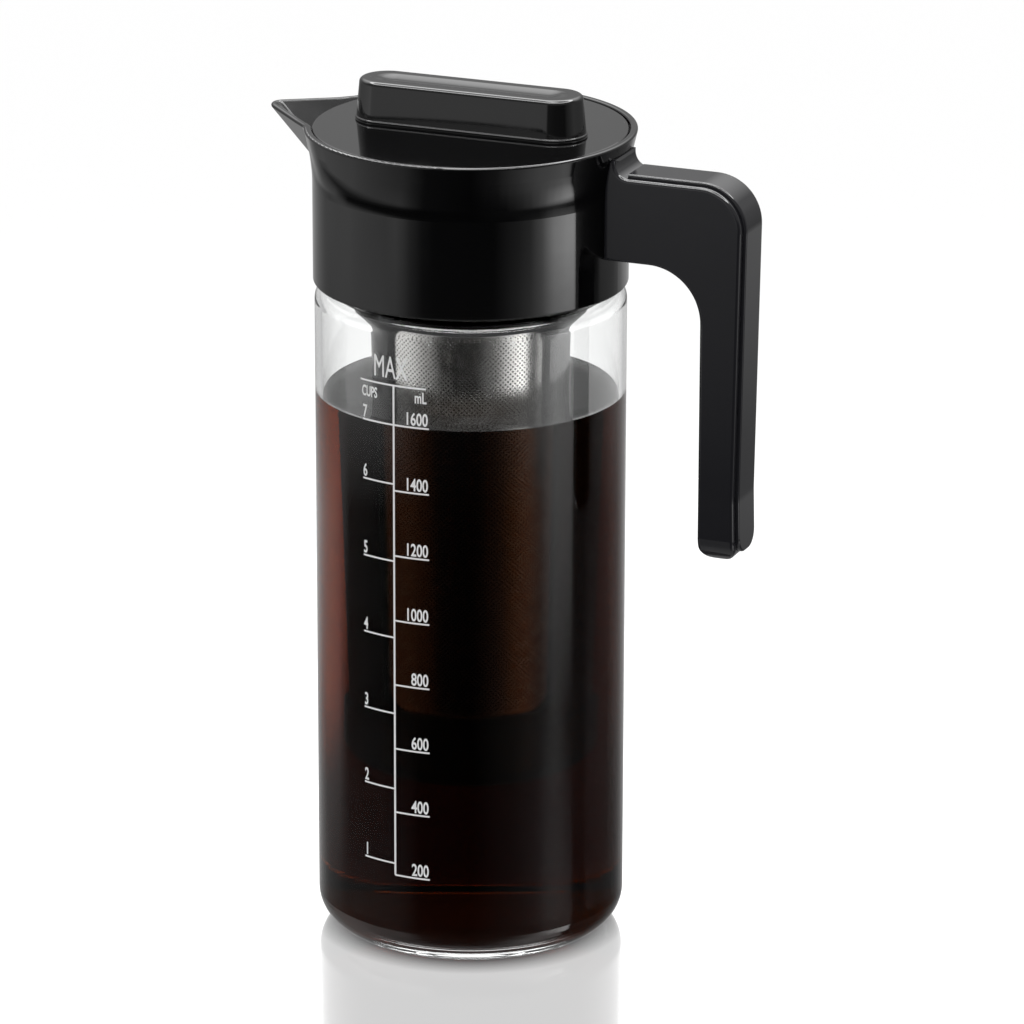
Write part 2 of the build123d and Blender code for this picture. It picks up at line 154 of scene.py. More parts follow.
def faceVectors(mesh, kind):
    # one vector for each face: its middle in metres, or its normal
    flat = np.empty(len(mesh.polygons) * 3)
    mesh.polygons.foreach_get(kind, flat)
    return flat.reshape(-1, 3)


def grey(level):
    # the same share of red, green and blue, fully covering
    return level, level, level, 1


def feed(links, socket, value):
    # a plain number sits on the socket itself, anything else comes from another node
    if isinstance(value, (int, float)):
        socket.default_value = value
    else:
        links.new(value, socket)


def newMaterial(name):
    # a new material with its nodes, its links and its surface shader
    made = bpy.data.materials.new(name)
    made.use_nodes = True
    nodes, links = made.node_tree.nodes, made.node_tree.links
    return made, nodes, links, nodes["Principled BSDF"]


def maths(nodes, links, kind, first, second=None):
    # one arithmetic node; each of its two inputs is a plain number or comes from another node
    node = nodes.new("ShaderNodeMath")
    node.operation = kind
    for socket, value in zip(node.inputs, (first, second)):
        if value is not None:
            feed(links, socket, value)
    return node.outputs["Value"]


def blended(nodes, links, share, first, second):
    # first x (1 - share) + second x share, for numbers
    mix = nodes.new("ShaderNodeMix")
    feed(links, mix.inputs["Factor"], share)
    feed(links, mix.inputs["A"], first)
    feed(links, mix.inputs["B"], second)
    return mix.outputs["Result"]


def blendedShaders(nodes, links, share, first, second):
    # first x (1 - share) + second x share, for what light does
    mix = nodes.new("ShaderNodeMixShader")
    links.new(share, mix.inputs["Fac"])
    links.new(first, mix.inputs[1])
    links.new(second, mix.inputs[2])
    return mix.outputs["Shader"]


def objectNoise(nodes, links, scale, detail=2.0):
    # cloudy pattern fixed to the piece, between 0 and 1
    place = nodes.new("ShaderNodeTexCoord")
    noise = nodes.new("ShaderNodeTexNoise")
    noise.inputs["Scale"].default_value = scale
    noise.inputs["Detail"].default_value = detail
    links.new(place.outputs["Object"], noise.inputs["Vector"])
    return noise.outputs["Fac"]


def ranged(nodes, links, source, low, high, fromLow=0.3, fromHigh=0.7):
    # low + (high - low) x (source - fromLow) / (fromHigh - fromLow), kept between low and high;
    # noise mostly lies between 0.3 and 0.7
    span = nodes.new("ShaderNodeMapRange")
    span.inputs["From Min"].default_value = fromLow
    span.inputs["From Max"].default_value = fromHigh
    span.inputs["To Min"].default_value = low
    span.inputs["To Max"].default_value = high
    links.new(source, span.inputs["Value"])
    return span.outputs["Result"]


def bumped(nodes, links, shader, source, strength, distance):
    # the surface looks raised by source x distance (metres), weakened by the strength
    bump = nodes.new("ShaderNodeBump")
    bump.inputs["Strength"].default_value = strength
    bump.inputs["Distance"].default_value = distance
    links.new(source, bump.inputs["Height"])
    links.new(bump.outputs["Normal"], shader.inputs["Normal"])


plasticNoise = {
    "gloss": 60,            # noise cells per metre
    "waves": 180,
    "waveDetail": 1.0,
    "waveHeight": 0.0002,   # metres
}
plastics = {
    # colour, roughness where smoothest and where roughest, index of refraction, waviness
    "blackGloss": ((0.0016, 0.0016, 0.0018), 0.045, 0.075, 1.46, 0.012),
    "handleGloss": ((0.0135, 0.0135, 0.0160), 0.055, 0.085, 1.46, 0.012),
    "framePlastic": ((0.0045, 0.0045, 0.0050), 0.16, 0.24, 1.46, 0.02),
    "silicone": ((0.22, 0.22, 0.22), 0.45, 0.6, 1.41, 0.05),
}


def mouldedPlastic(name):
    # gloss varies a little over the surface, as the mould's polish does
    colour, smoothest, roughest, ior, waviness = plastics[name]
    p = plasticNoise
    made, nodes, links, shader = newMaterial(name)
    shader.inputs["Base Color"].default_value = (*colour, 1)
    shader.inputs["IOR"].default_value = ior
    gloss = ranged(nodes, links, objectNoise(nodes, links, p["gloss"]), smoothest, roughest)
    links.new(gloss, shader.inputs["Roughness"])
    waves = objectNoise(nodes, links, p["waves"], p["waveDetail"])
    bumped(nodes, links, shader, waves, waviness, p["waveHeight"])
    return made


blackGloss = mouldedPlastic("blackGloss")
handleGloss = mouldedPlastic("handleGloss")
framePlastic = mouldedPlastic("framePlastic")
silicone = mouldedPlastic("silicone")

clear = {
    "glassTint": (0.985, 0.99, 0.988),
    "glassIor": 1.47,
    "coffeeIor": 1.333,
    "coffeeColour": (0.60, 0.36, 0.08),
    "coffeeDensity": 105,
}


def clearLiquidOrGlass(name, colour, ior):
    # smooth and see-through, with no haze of its own
    made, nodes, links, shader = newMaterial(name)
    shader.inputs["Base Color"].default_value = (*colour, 1)
    shader.inputs["Transmission Weight"].default_value = 1
    shader.inputs["Roughness"].default_value = 0
    shader.inputs["IOR"].default_value = ior
    return made, nodes, links


def coffeeLiquid(name):
    # the body takes up density x (1 - colour) per metre: blue first, then green, so thin parts
    # glow red-brown
    made, nodes, links = clearLiquidOrGlass(name, (1, 1, 1), 1.0)
    body = nodes.new("ShaderNodeVolumeAbsorption")
    body.inputs["Color"].default_value = (*clear["coffeeColour"], 1)
    body.inputs["Density"].default_value = clear["coffeeDensity"]
    links.new(body.outputs["Volume"], nodes["Material Output"].inputs["Volume"])
    return made


glassClear = clearLiquidOrGlass("glassClear", clear["glassTint"], clear["glassIor"])[0]
# where coffee touches the glass, light turns by the ratio of the two indexes
wetIor = clear["glassIor"] / clear["coffeeIor"]
glassWet = clearLiquidOrGlass("glassWet", clear["glassTint"], wetIor)[0]
coffeeSkin = clearLiquidOrGlass("coffeeSkin", (1, 1, 1), clear["coffeeIor"])[0]
coffeeBrown = coffeeLiquid("coffeeBrown")

steelGrain = {"noise": 300, "detail": 3}
screwMetal = {"colour": (0.6, 0.6, 0.6), "smoothest": 0.2, "roughest": 0.35}
meshMetal = {"colour": (0.68, 0.67, 0.65), "smoothest": 0.20, "roughest": 0.27}
perforation = {
    "around": 228,          # holes in one turn
    "pitch": 0.88,          # mm, up the sleeve
    "low": 90.0,            # mm
    "high": 225.6,
    "cut": 0.36,            # a lower number gives larger holes
    "soft": 0.10,
}


def steel(name, metal):
    # bare metal whose fine grain moves its roughness between two values
    made, nodes, links, shader = newMaterial(name)
    shader.inputs["Base Color"].default_value = (*metal["colour"], 1)
    shader.inputs["Metallic"].default_value = 1
    grain = objectNoise(nodes, links, steelGrain["noise"], steelGrain["detail"])
    rough = ranged(nodes, links, grain, metal["smoothest"], metal["roughest"])
    links.new(rough, shader.inputs["Roughness"])
    return made, nodes, links, shader


def perforatedSteel(name):
    # round holes where cos(turns) x cos(height) is over the cut: rows that step sideways by half
    # a pitch
    p = perforation
    made, nodes, links, shader = steel(name, meshMetal)
    place = nodes.new("ShaderNodeTexCoord")
    axes = nodes.new("ShaderNodeSeparateXYZ")
    links.new(place.outputs["Object"], axes.inputs["Vector"])
    height = axes.outputs["Z"]

    def calc(*asked):
        return maths(nodes, links, *asked)

    turn = calc("ARCTAN2", axes.outputs["Y"], axes.outputs["X"])
    across = calc("COSINE", calc("MULTIPLY", turn, p["around"] / 2))
    up = calc("COSINE", calc("MULTIPLY", height, pi / (p["pitch"] * mm)))
    overLow = calc("GREATER_THAN", height, p["low"] * mm)
    underHigh = calc("LESS_THAN", height, p["high"] * mm)
    inBand = calc("MULTIPLY", overLow, underHigh)
    edge = (p["cut"] - p["soft"], p["cut"] + p["soft"])
    opened = ranged(nodes, links, calc("MULTIPLY", across, up), 0, 1, *edge)
    hole = nodes.new("ShaderNodeBsdfTransparent").outputs["BSDF"]
    share = calc("MULTIPLY", opened, inBand)
    shown = blendedShaders(nodes, links, share, shader.outputs["BSDF"], hole)
    links.new(shown, nodes["Material Output"].inputs["Surface"])
    return made


screwSteel = steel("screwSteel", screwMetal)[0]
meshSteel = perforatedSteel("meshSteel")

ink = {"dark": 0.86, "light": 0.94, "noise": 900, "roughness": 0.5}


def inkWhite(name):
    # white that a fine noise moves between two levels
    made, nodes, links, shader = newMaterial(name)
    shade = nodes.new("ShaderNodeMix")
    shade.data_type = "RGBA"
    shade.inputs["A"].default_value = grey(ink["dark"])
    shade.inputs["B"].default_value = grey(ink["light"])
    links.new(objectNoise(nodes, links, ink["noise"]), shade.inputs["Factor"])
    links.new(shade.outputs["Result"], shader.inputs["Base Color"])
    shader.inputs["Roughness"].default_value = ink["roughness"]
    return made


scaleInk = inkWhite("scaleInk")
print("materials made")


nodeFinish = {
    "neck_gasket": silicone,
    "neck_clamp_ring": framePlastic,
    "collar_shell": blackGloss,
    "handle_body": handleGloss,
    "handle_cover": handleGloss,
    "handle_screws": screwSteel,
    "filter_frame": framePlastic,
    "filter_mesh": meshSteel,
    "filter_bottom_cup": framePlastic,
    "lid_gasket": silicone,
    "lid_plug": framePlastic,
    "lid_top": blackGloss,
    "lid_knob": blackGloss,
    "lid_screws": screwSteel,
}
for nodeName, finish in nodeFinish.items():
    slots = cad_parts[nodeName].data.materials
    slots.clear()
    slots.append(finish)
print("nodes finished")


glass = {
    "radius": 54.5, "wall": 2.5, "floor": 5.0, "dome": 1.2, "heel": 12.0,
    "shoulder": 237.0, "shoulderRadius": 6.0, "step": 8.0,
    "bead": 255.0, "beadWidth": 2.5, "lip": 262.0,
    "beadRoot": 0.5, "beadEdge": 0.8, "lipEdge": 1.2, "boreEdge": 0.8,
    "spare": 0.1,           # mm left straight between two roundings
    "facingUp": 0.01,       # a face looks up where its normal rises by more than this
    "sides": 256,
}
coffee = {
    "film": 0.02,           # mm between the glass and the coffee's body
    "level": 197.4,
    "creep": 0.9,           # how far the edge climbs the glass
    "creepReach": 2.2,
    "edgeReaches": 5,       # creep reaches that the fine rings cover
    "edgeRings": 24,
}


def makeGlass():
    # the wall's section is turned round; faces that look inwards or up are wetted, up to the
    # coffee's edge
    g = glass
    bore = g["radius"] - g["wall"]
    neck = g["radius"] - g["step"]
    neckBore = neck - g["wall"]
    rise = g["step"] - g["shoulderRadius"]
    innerShoulder = g["shoulder"] - g["wall"]
    wetTop = coffee["level"] + coffee["creep"]
    corners = [
        (0, 0),
        (g["radius"], 0, g["heel"]),
        (g["radius"], g["shoulder"], g["shoulderRadius"]),
        (neck, g["shoulder"], rise - g["spare"]),
        (neck, g["bead"], g["beadRoot"]),
        (neck + g["beadWidth"], g["bead"], g["beadEdge"]),
        (neck + g["beadWidth"], g["lip"], g["lipEdge"]),
        (neckBore, g["lip"], g["boreEdge"]),
        (neckBore, innerShoulder, rise + g["wall"] - g["spare"]),
        (bore, innerShoulder, g["shoulderRadius"] - g["wall"]),
        (bore, wetTop),
        (bore, g["floor"], g["heel"] - g["wall"]),
        (0, g["floor"] + g["dome"]),
    ]
    path = withEdgeRings(roundedPath(corners))
    piece = ringMesh("glassCarafe", carriedRound(path, g["sides"]), poles=(True, True))
    piece.data.materials.append(glassClear)
    piece.data.materials.append(glassWet)
    place, facing = faceVectors(piece.data, "center"), faceVectors(piece.data, "normal")
    inwards = (place[:, :2] * facing[:, :2]).sum(1) < 0
    wetted = (inwards | (facing[:, 2] > g["facingUp"])) & (place[:, 2] < wetTop * mm)
    piece.data.polygons.foreach_set("material_index", wetted.astype(np.int32))
    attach(piece, "pitcher")
    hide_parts("glass_carafe")


makeGlass()
print("glass made")


def coffeeTop(drop):
    # (radius, height) from the glass to the middle: height = level + creep x e^(-away / reach),
    # where away is the distance from the glass; drop moves it all inwards and down
    c = coffee
    wide = glass["radius"] - glass["wall"] - drop
    away = np.linspace(0, c["edgeReaches"] * c["creepReach"], c["edgeRings"])
    climbed = c["level"] + c["creep"] * np.exp(-away / c["creepReach"])
    edge = np.stack([wide - away, climbed], 1)
    middle = np.array([[wide - 2 * away[-1], c["level"]], [0, c["level"]]])
    return np.vstack([edge, middle]) - [0, drop]


def makeCoffee():
    # the body follows the glass's inside, a film's width off it, and the surface lies on top of it
    g, film = glass, coffee["film"]
    wide = g["radius"] - g["wall"] - film
    corners = [
        (0, g["floor"] + g["dome"] + film),
        (wide, g["floor"] + film, g["heel"] - g["wall"]),
        (wide, coffeeTop(film)[0, 1]),
    ]
    path = np.vstack([withEdgeRings(roundedPath(corners)), coffeeTop(film)[1:]])
    body = ringMesh("coffee", carriedRound(path, g["sides"]), poles=(True, True))
    body.data.materials.append(coffeeBrown)
    top = carriedRound(coffeeTop(0), g["sides"])[::-1]
    surface = ringMesh("coffeeSurface", top, poles=(True, False))
    surface.data.materials.append(coffeeSkin)
    for piece in (body, surface):
        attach(piece, "pitcher")


makeCoffee()
print("coffee made")


knob = {
    "length": 83.6, "width": 21.2, "height": 14.6,
    "topWidth": 19.7,
    "taper": 5.2,           # degrees that the sides lean in
    "topEdge": 1.6,
    "lip": 0.27, "lipHeight": 1.2, "lipEdge": 0.4, "lipCorner": 0.25,
    "dishLength": 67.0, "dishWidth": 10.0, "dishDepth": 0.75,
    "dishEdge": 0.35, "dishRings": 17,
    "wall": 2.2,
    "stepAngle": 9,         # degrees between the points of a rounding
    "arcSteps": 48, "runSteps": 24,
}


def slotRing(halfRun, radius, height):
    # a slot's outline at one height: two half circles of the given radius, joined by straight runs
    k = knob
    turn = np.linspace(-pi / 2, pi / 2, k["arcSteps"] + 1)
    run = np.linspace(-halfRun, halfRun, k["runSteps"] + 1)[1:-1]
    right = np.stack([halfRun + radius * np.cos(turn), radius * np.sin(turn)], 1)
    back = np.stack([run[::-1], radius + 0 * run], 1)
    ring = np.vstack([right, back, -right, -back])
    return np.column_stack([ring, np.full(len(ring), height)])


def makeKnob():
    # rings from the underside of the lip, up the leaning side, over the rounded edge and down into
    # a dish: depth = dishDepth x (1 - share of the half width squared)
    k = knob
    low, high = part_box("lid_knob")
    foot, top = low[2] / mm, high[2] / mm
    halfRun = (k["length"] - k["width"]) / 2
    lean = tan(radians(k["taper"]))
    upperWide = k["topWidth"] / 2
    wide = upperWide + k["height"] * lean
    dishRun = (k["dishLength"] - k["dishWidth"]) / 2
    lipTop = foot + k["lipHeight"]
    section = roundedPath([
        (wide - k["wall"], foot),
        (wide + k["lip"], foot),
        (wide + k["lip"], lipTop, k["lipEdge"]),
        (wide - k["lipHeight"] * lean, lipTop, k["lipCorner"]),
        (upperWide, top, k["topEdge"]),
        (k["dishWidth"] / 2 + k["dishEdge"], top),
    ], k["stepAngle"])
    rings = [slotRing(halfRun, 0, foot)]
    rings += [slotRing(halfRun, radius, height) for radius, height in withEdgeRings(section)]
    for share in np.linspace(1, 0, k["dishRings"]):
        depth = k["dishDepth"] * (1 - share ** 2)
        rings.append(slotRing(dishRun, k["dishWidth"] / 2 * share, top - depth))
    piece = ringMesh("lidKnob", np.array(rings))
    piece.data.materials.append(blackGloss)
    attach(piece, "lid")
    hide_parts("lid_knob")


makeKnob()
print("knob made")

scale = {
    "angle": -96.1,         # degrees round the glass of the centre line
    "proud": 0.05,          # mm off the glass
    "thick": 0.04,          # mm more for the print's face
    "sunk": 0.1,            # mm less for its back, which so lies in the glass
    "barStep": 1.0,         # mm between the points of a bar, at most
    "lineWidth": 0.7,
    "tickWidth": 0.6,
    "tickLength": 13.1,
    "lowMark": 33.4,        # height of the lowest mark
    "step": 200,            # millilitres from mark to mark
    "last": 1600,
    "perMl": 23.68 / 200,
    "cup": 236.6,           # millilitres
    "cups": 7,
    "maxLine": 213.3,
    "maxShift": 1,          # mm that the top line is moved to the left
    "digit": 4.4,
    "digitLift": 0.9,       # mm from a mark to its digits
    "digitInset": 0.3,
    "digitNarrow": 0.68,
}
lettering = {
    "capital": 0.70,        # height of a capital as a share of the letters' size
    "narrow": 0.60,         # width of the letters as a share of the font's own
    "bold": 0.11,           # mm added all round
    "extrude": 0.5,         # mm to each side, before they are pressed to the print's thickness
    "curveSteps": 4,
}
scaleWords = {
    # text, across, up from the top line, height, narrow, bold
    "maxWord": ("MAX", -1.5, 2.4, 7.9, 0.56, 0),
    "cupsWord": ("CUPS", -10.1, -5.6, 3.7, 0.54, lettering["bold"]),
    "millilitreWord": ("mL", 10.1, -5.2, 3.9, 0.62, lettering["bold"]),
}


def wrapOnGlass(across, up, depth):
    # across runs round the glass from the centre line, seen from outside: angle = across / radius
    radius = glass["radius"] + scale["proud"] + depth
    turn = radians(scale["angle"]) + across / glass["radius"]
    return np.stack([radius * np.cos(turn), radius * np.sin(turn), up + 0 * turn], -1)


def makeBar(name, left, right, low, high):
    # a thin wrapped plate: the four corners of its section, carried along an even row of steps
    steps = int((right - left) / scale["barStep"]) + 2
    across = np.linspace(left, right, steps)[:, None]
    up = np.array([low, low, high, high])[None]
    back, front = -scale["sunk"], scale["thick"]
    depth = np.array([back, front, front, back])[None]
    body = wrapOnGlass(across + 0 * up, up + 0 * across, depth + 0 * across)
    ends = np.repeat(body.mean(1, keepdims=True), 4, 1)
    rings = np.concatenate([ends[:1], body, ends[-1:]])
    piece = ringMesh(name, rings, poles=(True, True))
    shadeFaces(piece.data, False)
    return piece


def makeWords(name, words, across, up, height, alignX,
              narrow=lettering["narrow"], bold=lettering["bold"]):
    # outlines of the letters become a thin solid, squeezed narrow, and are wrapped on the glass
    curve = bpy.data.curves.new(name, "FONT")
    curve.body = words
    curve.size = height / lettering["capital"]
    curve.align_x = alignX
    curve.offset = bold
    curve.extrude = lettering["extrude"]
    curve.resolution_u = lettering["curveSteps"]
    carrier = intoScene(name, curve)
    solid = carrier.evaluated_get(bpy.context.evaluated_depsgraph_get())
    mesh = bpy.data.meshes.new_from_object(solid)
    bpy.data.objects.remove(carrier)
    flat = np.empty(len(mesh.vertices) * 3)
    mesh.vertices.foreach_get("co", flat)
    flat = flat.reshape(-1, 3)
    depth = np.where(flat[:, 2] > 0, scale["thick"], -scale["sunk"])
    wrapped = wrapOnGlass(across + flat[:, 0] * narrow, up + flat[:, 1], depth) * mm
    mesh.vertices.foreach_set("co", wrapped.ravel())
    piece = finishMesh(name, mesh)
    shadeFaces(piece.data, False)
    return piece


def joinPieces(name, parts):
    # all parts become one object with one mesh
    bpy.ops.object.select_all(action="DESELECT")
    for part in parts:
        part.select_set(True)
    bpy.context.view_layer.objects.active = parts[0]
    bpy.ops.object.join()
    parts[0].name = name
    parts[0].data.name = name
    return parts[0]


def markHeight(millilitres):
    # height of the lowest mark + millilitres over it x height of one
    return scale["lowMark"] + (millilitres - scale["step"]) * scale["perMl"]


def makeScale():
    # a centre line, a top line, three words, and marks with digits: millilitres right, cups left
    s = scale
    reach, half = s["tickLength"], s["tickWidth"] / 2
    top = s["maxLine"]
    parts = [
        makeBar("scaleLine", -s["lineWidth"] / 2, s["lineWidth"] / 2, s["lowMark"], top),
        makeBar("maxLine", -reach - s["maxShift"], reach - s["maxShift"], top - half, top + half),
    ]
    for name, (text, across, up, height, narrow, bold) in scaleWords.items():
        parts.append(makeWords(name, text, across, top + up, height, "CENTER", narrow, bold))
    for millilitres in range(s["step"], s["last"] + 1, s["step"]):
        mark = markHeight(millilitres)
        parts.append(makeBar("tick", 0, reach, mark - half, mark + half))
        parts.append(makeWords("digits", str(millilitres), reach - s["digitInset"],
                               mark + s["digitLift"], s["digit"], "RIGHT", s["digitNarrow"]))
    for cups in range(1, s["cups"] + 1):
        # the last cup's mark is level with the last one in millilitres
        mark = markHeight(s["last"] if cups == s["cups"] else cups * s["cup"])
        parts.append(makeBar("tick", -reach, 0, mark - half, mark + half))
        parts.append(makeWords("digits", str(cups), -reach,
                               mark + s["digitLift"], s["digit"], "LEFT"))
    piece = joinPieces("scalePrint", parts)
    piece.data.materials.append(scaleInk)
    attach(piece, "pitcher")


makeScale()
print("scale made")


studio = {
    "floorSize": 30.0,
    "floorWhite": 0.8,
    "floorRoughness": 0.6,
    "floorGlow": 0.62,      # share of the floor's white that doesn't come from what it reflects
    "floorMirror": 0.75,
    "mirrorRoughness": 0.06,
    "shadeLevel": 0.03,     # share of the floor's brightness that is left in the painted shadow under the pitcher
    "shadeInner": 44.0,     # mm from the middle: painted shadow inside this, full brightness past the next
    "shadeOuter": 58.0,
    "nearPaintedShade": 0.22,       # painted shade: brightness through the coffee of the floor nearer than the next
    "nearEnd": 120.0,
    "farStart": 230.0,      # mm from the middle where the floor follows its own list of painted light and shade
    "diffuseLevel": 0.55,
    "sunkShare": 0.2,       # share of the room that is mirrored by what lies in the coffee
    "behindGlass": 1.5,     # clear faces: a ray that has passed more is behind the glass
    "inCoffee": 4.5,        # and one that has passed more than this is in the coffee
    "facing": -67.03,       # degrees: direction from the object towards the camera, on the floor
}
# what polished surfaces see of the room: bands of height above the horizon (degrees), each an
# even brightness or a list of (degrees from the camera's side, brightness)
roomBands = [
    (-62, 0.5),
    (-45, [
        (-180, 0.35), (-132, 0.37), (-99, 0.6), (-74, 0.5), (-54, 0.35), (-45, 0.2), (-36, 0.05),
        (0, 0.02), (20, 0.15), (37, 0.6), (46, 0.9), (55, 1.05), (65, 0.7), (76, 0.4), (82, 0.05),
        (120, 0.05), (180, 0.35),
    ]),
    (-33, [
        (-180, 0.35), (-132, 0.37), (-99, 0.65), (-74, 0.55), (-54, 0.45), (-45, 0.22),
        (-36, 0.06), (0, 0.01), (20, 0.1), (37, 0.45), (46, 0.75), (55, 1.1), (65, 1.5),
        (76, 1.8), (81, 1.5), (83, 0.05), (120, 0.05), (180, 0.35),
    ]),
    (-25, [
        (-180, 0.5), (-132, 0.37), (-99, 0.7), (-74, 0.65), (-54, 0.65), (-45, 0.3), (-36, 0.06),
        (0, 0.01), (26, 0.05), (37, 0.25), (46, 0.55), (55, 1.3), (65, 3.0), (76, 4.4), (81, 4.2),
        (83, 0.1), (120, 0.06), (180, 0.5),
    ]),
    (-22.3, [
        (-180, 0.5), (-150, 0.3), (-135, 0.15), (-118, 0.1), (-100, 0.12), (-56, 0.12),
        (-40, 0.02), (0, 0.01), (50, 0.1), (60, 0.3), (80, 0.3), (84, 0.03), (110, 0.02),
        (140, 0.1), (180, 0.5),
    ]),
    (-20.2, [
        (-180, 0.6), (-140, 0.28), (-118, 0.42), (-106, 0.1), (-102, 0.03), (0, 0.005), (52, 0.1),
        (60, 0.25), (66, 0.4), (76, 0.12), (82, 0.05), (104, 0.06), (122, 0.06), (145, 0.22),
        (180, 0.6),
    ]),
    (-18.3, [
        (-180, 0.7), (-150, 0.6), (-134, 0.5), (-118, 0.5), (-108, 0.3), (-102, 0.05),
        (-60, 0.03), (0, 0.01), (30, 0.03), (42, 0.12), (52, 0.2), (58, 0.6), (63, 0.95),
        (72, 1.0), (80, 0.8), (83, 0.05), (105, 0.04), (118, 0.08), (139, 0.2), (160, 0.5),
        (180, 0.7),
    ]),
    (-17.0, [
        (-180, 0.4), (-125, 0.3), (-108, 0.6), (-80, 0.9), (-67, 0.95), (-58, 0.7), (-45, 0.25),
        (-35, 0.05), (4, 0.04), (15, 0.05), (23, 0.12), (33, 0.33), (44, 0.7), (54, 1.1),
        (65, 1.5), (80, 1.4), (85, 0.18), (100, 0.12), (120, 0.25), (150, 0.45), (180, 0.5),
    ]),
    (-15.6, [
        (-180, 0.5), (-164, 0.5), (-132, 0.37), (-114, 0.57), (-99, 0.8), (-65, 0.75),
        (-56, 0.95), (-50, 0.7), (-45, 0.36), (-36, 0.085), (-28, 0.03), (17, 0.02), (26, 0.13),
        (35, 0.22), (44, 0.41), (53, 1.4), (63, 4.5), (74, 5.6), (81, 5.4), (83, 0.2), (88, 0.05),
        (105, 0.03), (109, 0.35), (128, 0.24), (146, 0.7), (180, 0.5),
    ]),
    (-12.5, [
        (-180, 0.2), (-130, 0.3), (-110, 0.6), (-80, 1.3), (-72, 1.6), (-65, 1.0), (-32, 0.95),
        (-26, 0.15), (0, 0.05), (38, 0.08), (46, 0.3), (75, 0.6), (100, 0.4), (130, 0.2),
        (180, 0.2),
    ]),
    (3, [
        (-180, 0.25), (-110, 0.6), (-65, 0.95), (-32, 0.95), (-26, 0.2), (38, 0.1), (75, 0.6),
        (110, 0.4), (180, 0.25),
    ]),
    (10, 0.5),
    (16, 0.5),
    (25, [
        (-180, 1.5), (-120, 1.2), (-90, 0.5), (90, 0.5), (120, 1.2), (180, 1.5),
    ]),
    (36, [
        (-180, 3.0), (-120, 2.5), (-90, 0.4), (90, 0.4), (120, 2.5), (180, 3.0),
    ]),
    (48, [
        (-180, 5.0), (-120, 4.0), (-90, 1.0), (90, 1.0), (120, 4.0), (180, 5.0),
    ]),
    (51, 16.0),
    (56, 16.0),
    (60, 4.0),
    (76, 3.0),
    (90, 1.5),
]
# the same for polished surfaces seen through the glass, such as the filter's sleeve and ribs:
# one list holds between two heights, and the room's own bands follow over them
sleeveSees = [
    (-180, 1.0), (-136, 0.4), (-118, 0.2), (-112, 0.35), (-105, 1.15), (-87, 1.1), (-73, 1.05),
    (-62, 0.6), (-47, 0.38), (-40, 0.02), (-13, 0.005), (10, 0.005), (19, 0.15), (32, 0.22),
    (43, 0.8), (55, 1.6), (68, 2.5), (80, 1.2), (97, 0.22), (101, 1.9), (130, 1.4), (159, 0.6),
    (180, 1.0),
]
glassBands = [(-62, 0.4), (-40, 0.05), (-32, sleeveSees), (5, sleeveSees)]
glassBands += [band for band in roomBands if band[0] > glassBands[-1][0]]
# painted light and shade on the far floor, seen only through the coffee: (degrees from the camera's
# side, brightness)
paintedFloorThroughCoffee = [
    (-180, 0.25), (-158, 0.25), (-150, 0.35), (-141, 0.6), (-134, 0.5), (-120, 0.45), (0, 0.45),
    (120, 1.9), (134, 2.3), (144, 3.6), (151, 2.8), (158, 0.6), (166, 0.25), (180, 0.25),
]


def bandLevel(nodes, links, turns, band):
    # an even number stays a number; a list becomes a ramp over the turn, scaled to its highest
    # brightness
    if not isinstance(band, list):
        return band
    highest = max(level for degrees, level in band)
    ramp = nodes.new("ShaderNodeValToRGB")
    stops = ramp.color_ramp.elements
    for i, (degrees, level) in enumerate(band):
        # a new ramp has two stops
        stop = stops[i] if i < 2 else stops.new(1.0)
        stop.position = (degrees + 180) / 360
        stop.color = grey(level / highest)
    links.new(turns, ramp.inputs["Fac"])
    return maths(nodes, links, "MULTIPLY", ramp.outputs["Color"], highest)


def turnsRound(nodes, links, coordinate):
    # share of a full turn from the side away from the camera, and the three axes: the half turn
    # puts the camera's side at 0.5, and the whole one keeps the sum over 0
    place = nodes.new("ShaderNodeTexCoord")
    axes = nodes.new("ShaderNodeSeparateXYZ")
    links.new(place.outputs[coordinate], axes.inputs["Vector"])
    bearing = maths(nodes, links, "ARCTAN2", axes.outputs["Y"], axes.outputs["X"])
    turned = maths(nodes, links, "DIVIDE", bearing, 2 * pi)
    shifted = maths(nodes, links, "ADD", turned, 1.5 - studio["facing"] / 360)
    return maths(nodes, links, "FRACT", shifted), axes


def roomSeen(nodes, links, bands):
    # going up the bands, the brightness moves from one band to the next in step with the sine of
    # the height
    turns, axes = turnsRound(nodes, links, "Generated")
    lowSine, seen = sin(radians(bands[0][0])), bandLevel(nodes, links, turns, bands[0][1])
    for height, band in bands[1:]:
        sine = sin(radians(height))
        share = ranged(nodes, links, axes.outputs["Z"], 0, 1, lowSine, sine)
        seen = blended(nodes, links, share, seen, bandLevel(nodes, links, turns, band))
        lowSine = sine
    return seen


def seenStraight(nodes, links, rays):
    # 1 for rays that come from the camera or through a clear piece
    straight = rays.outputs["Is Camera Ray"], rays.outputs["Is Transmission Ray"]
    return maths(nodes, links, "MAXIMUM", *straight)


def seenMirrored(nodes, links, rays):
    # 1 for rays that some surface has mirrored
    return maths(nodes, links, "MINIMUM", rays.outputs["Glossy Depth"], 1.0)


def seenPast(nodes, links, rays, faces):
    # 1 for rays that have passed more clear faces than this
    return maths(nodes, links, "GREATER_THAN", rays.outputs["Transmission Depth"], faces)


def evenBackground(nodes, level):
    # the same white in every direction
    background = nodes.new("ShaderNodeBackground")
    background.inputs["Color"].default_value = grey(1)
    background.inputs["Strength"].default_value = level
    return background


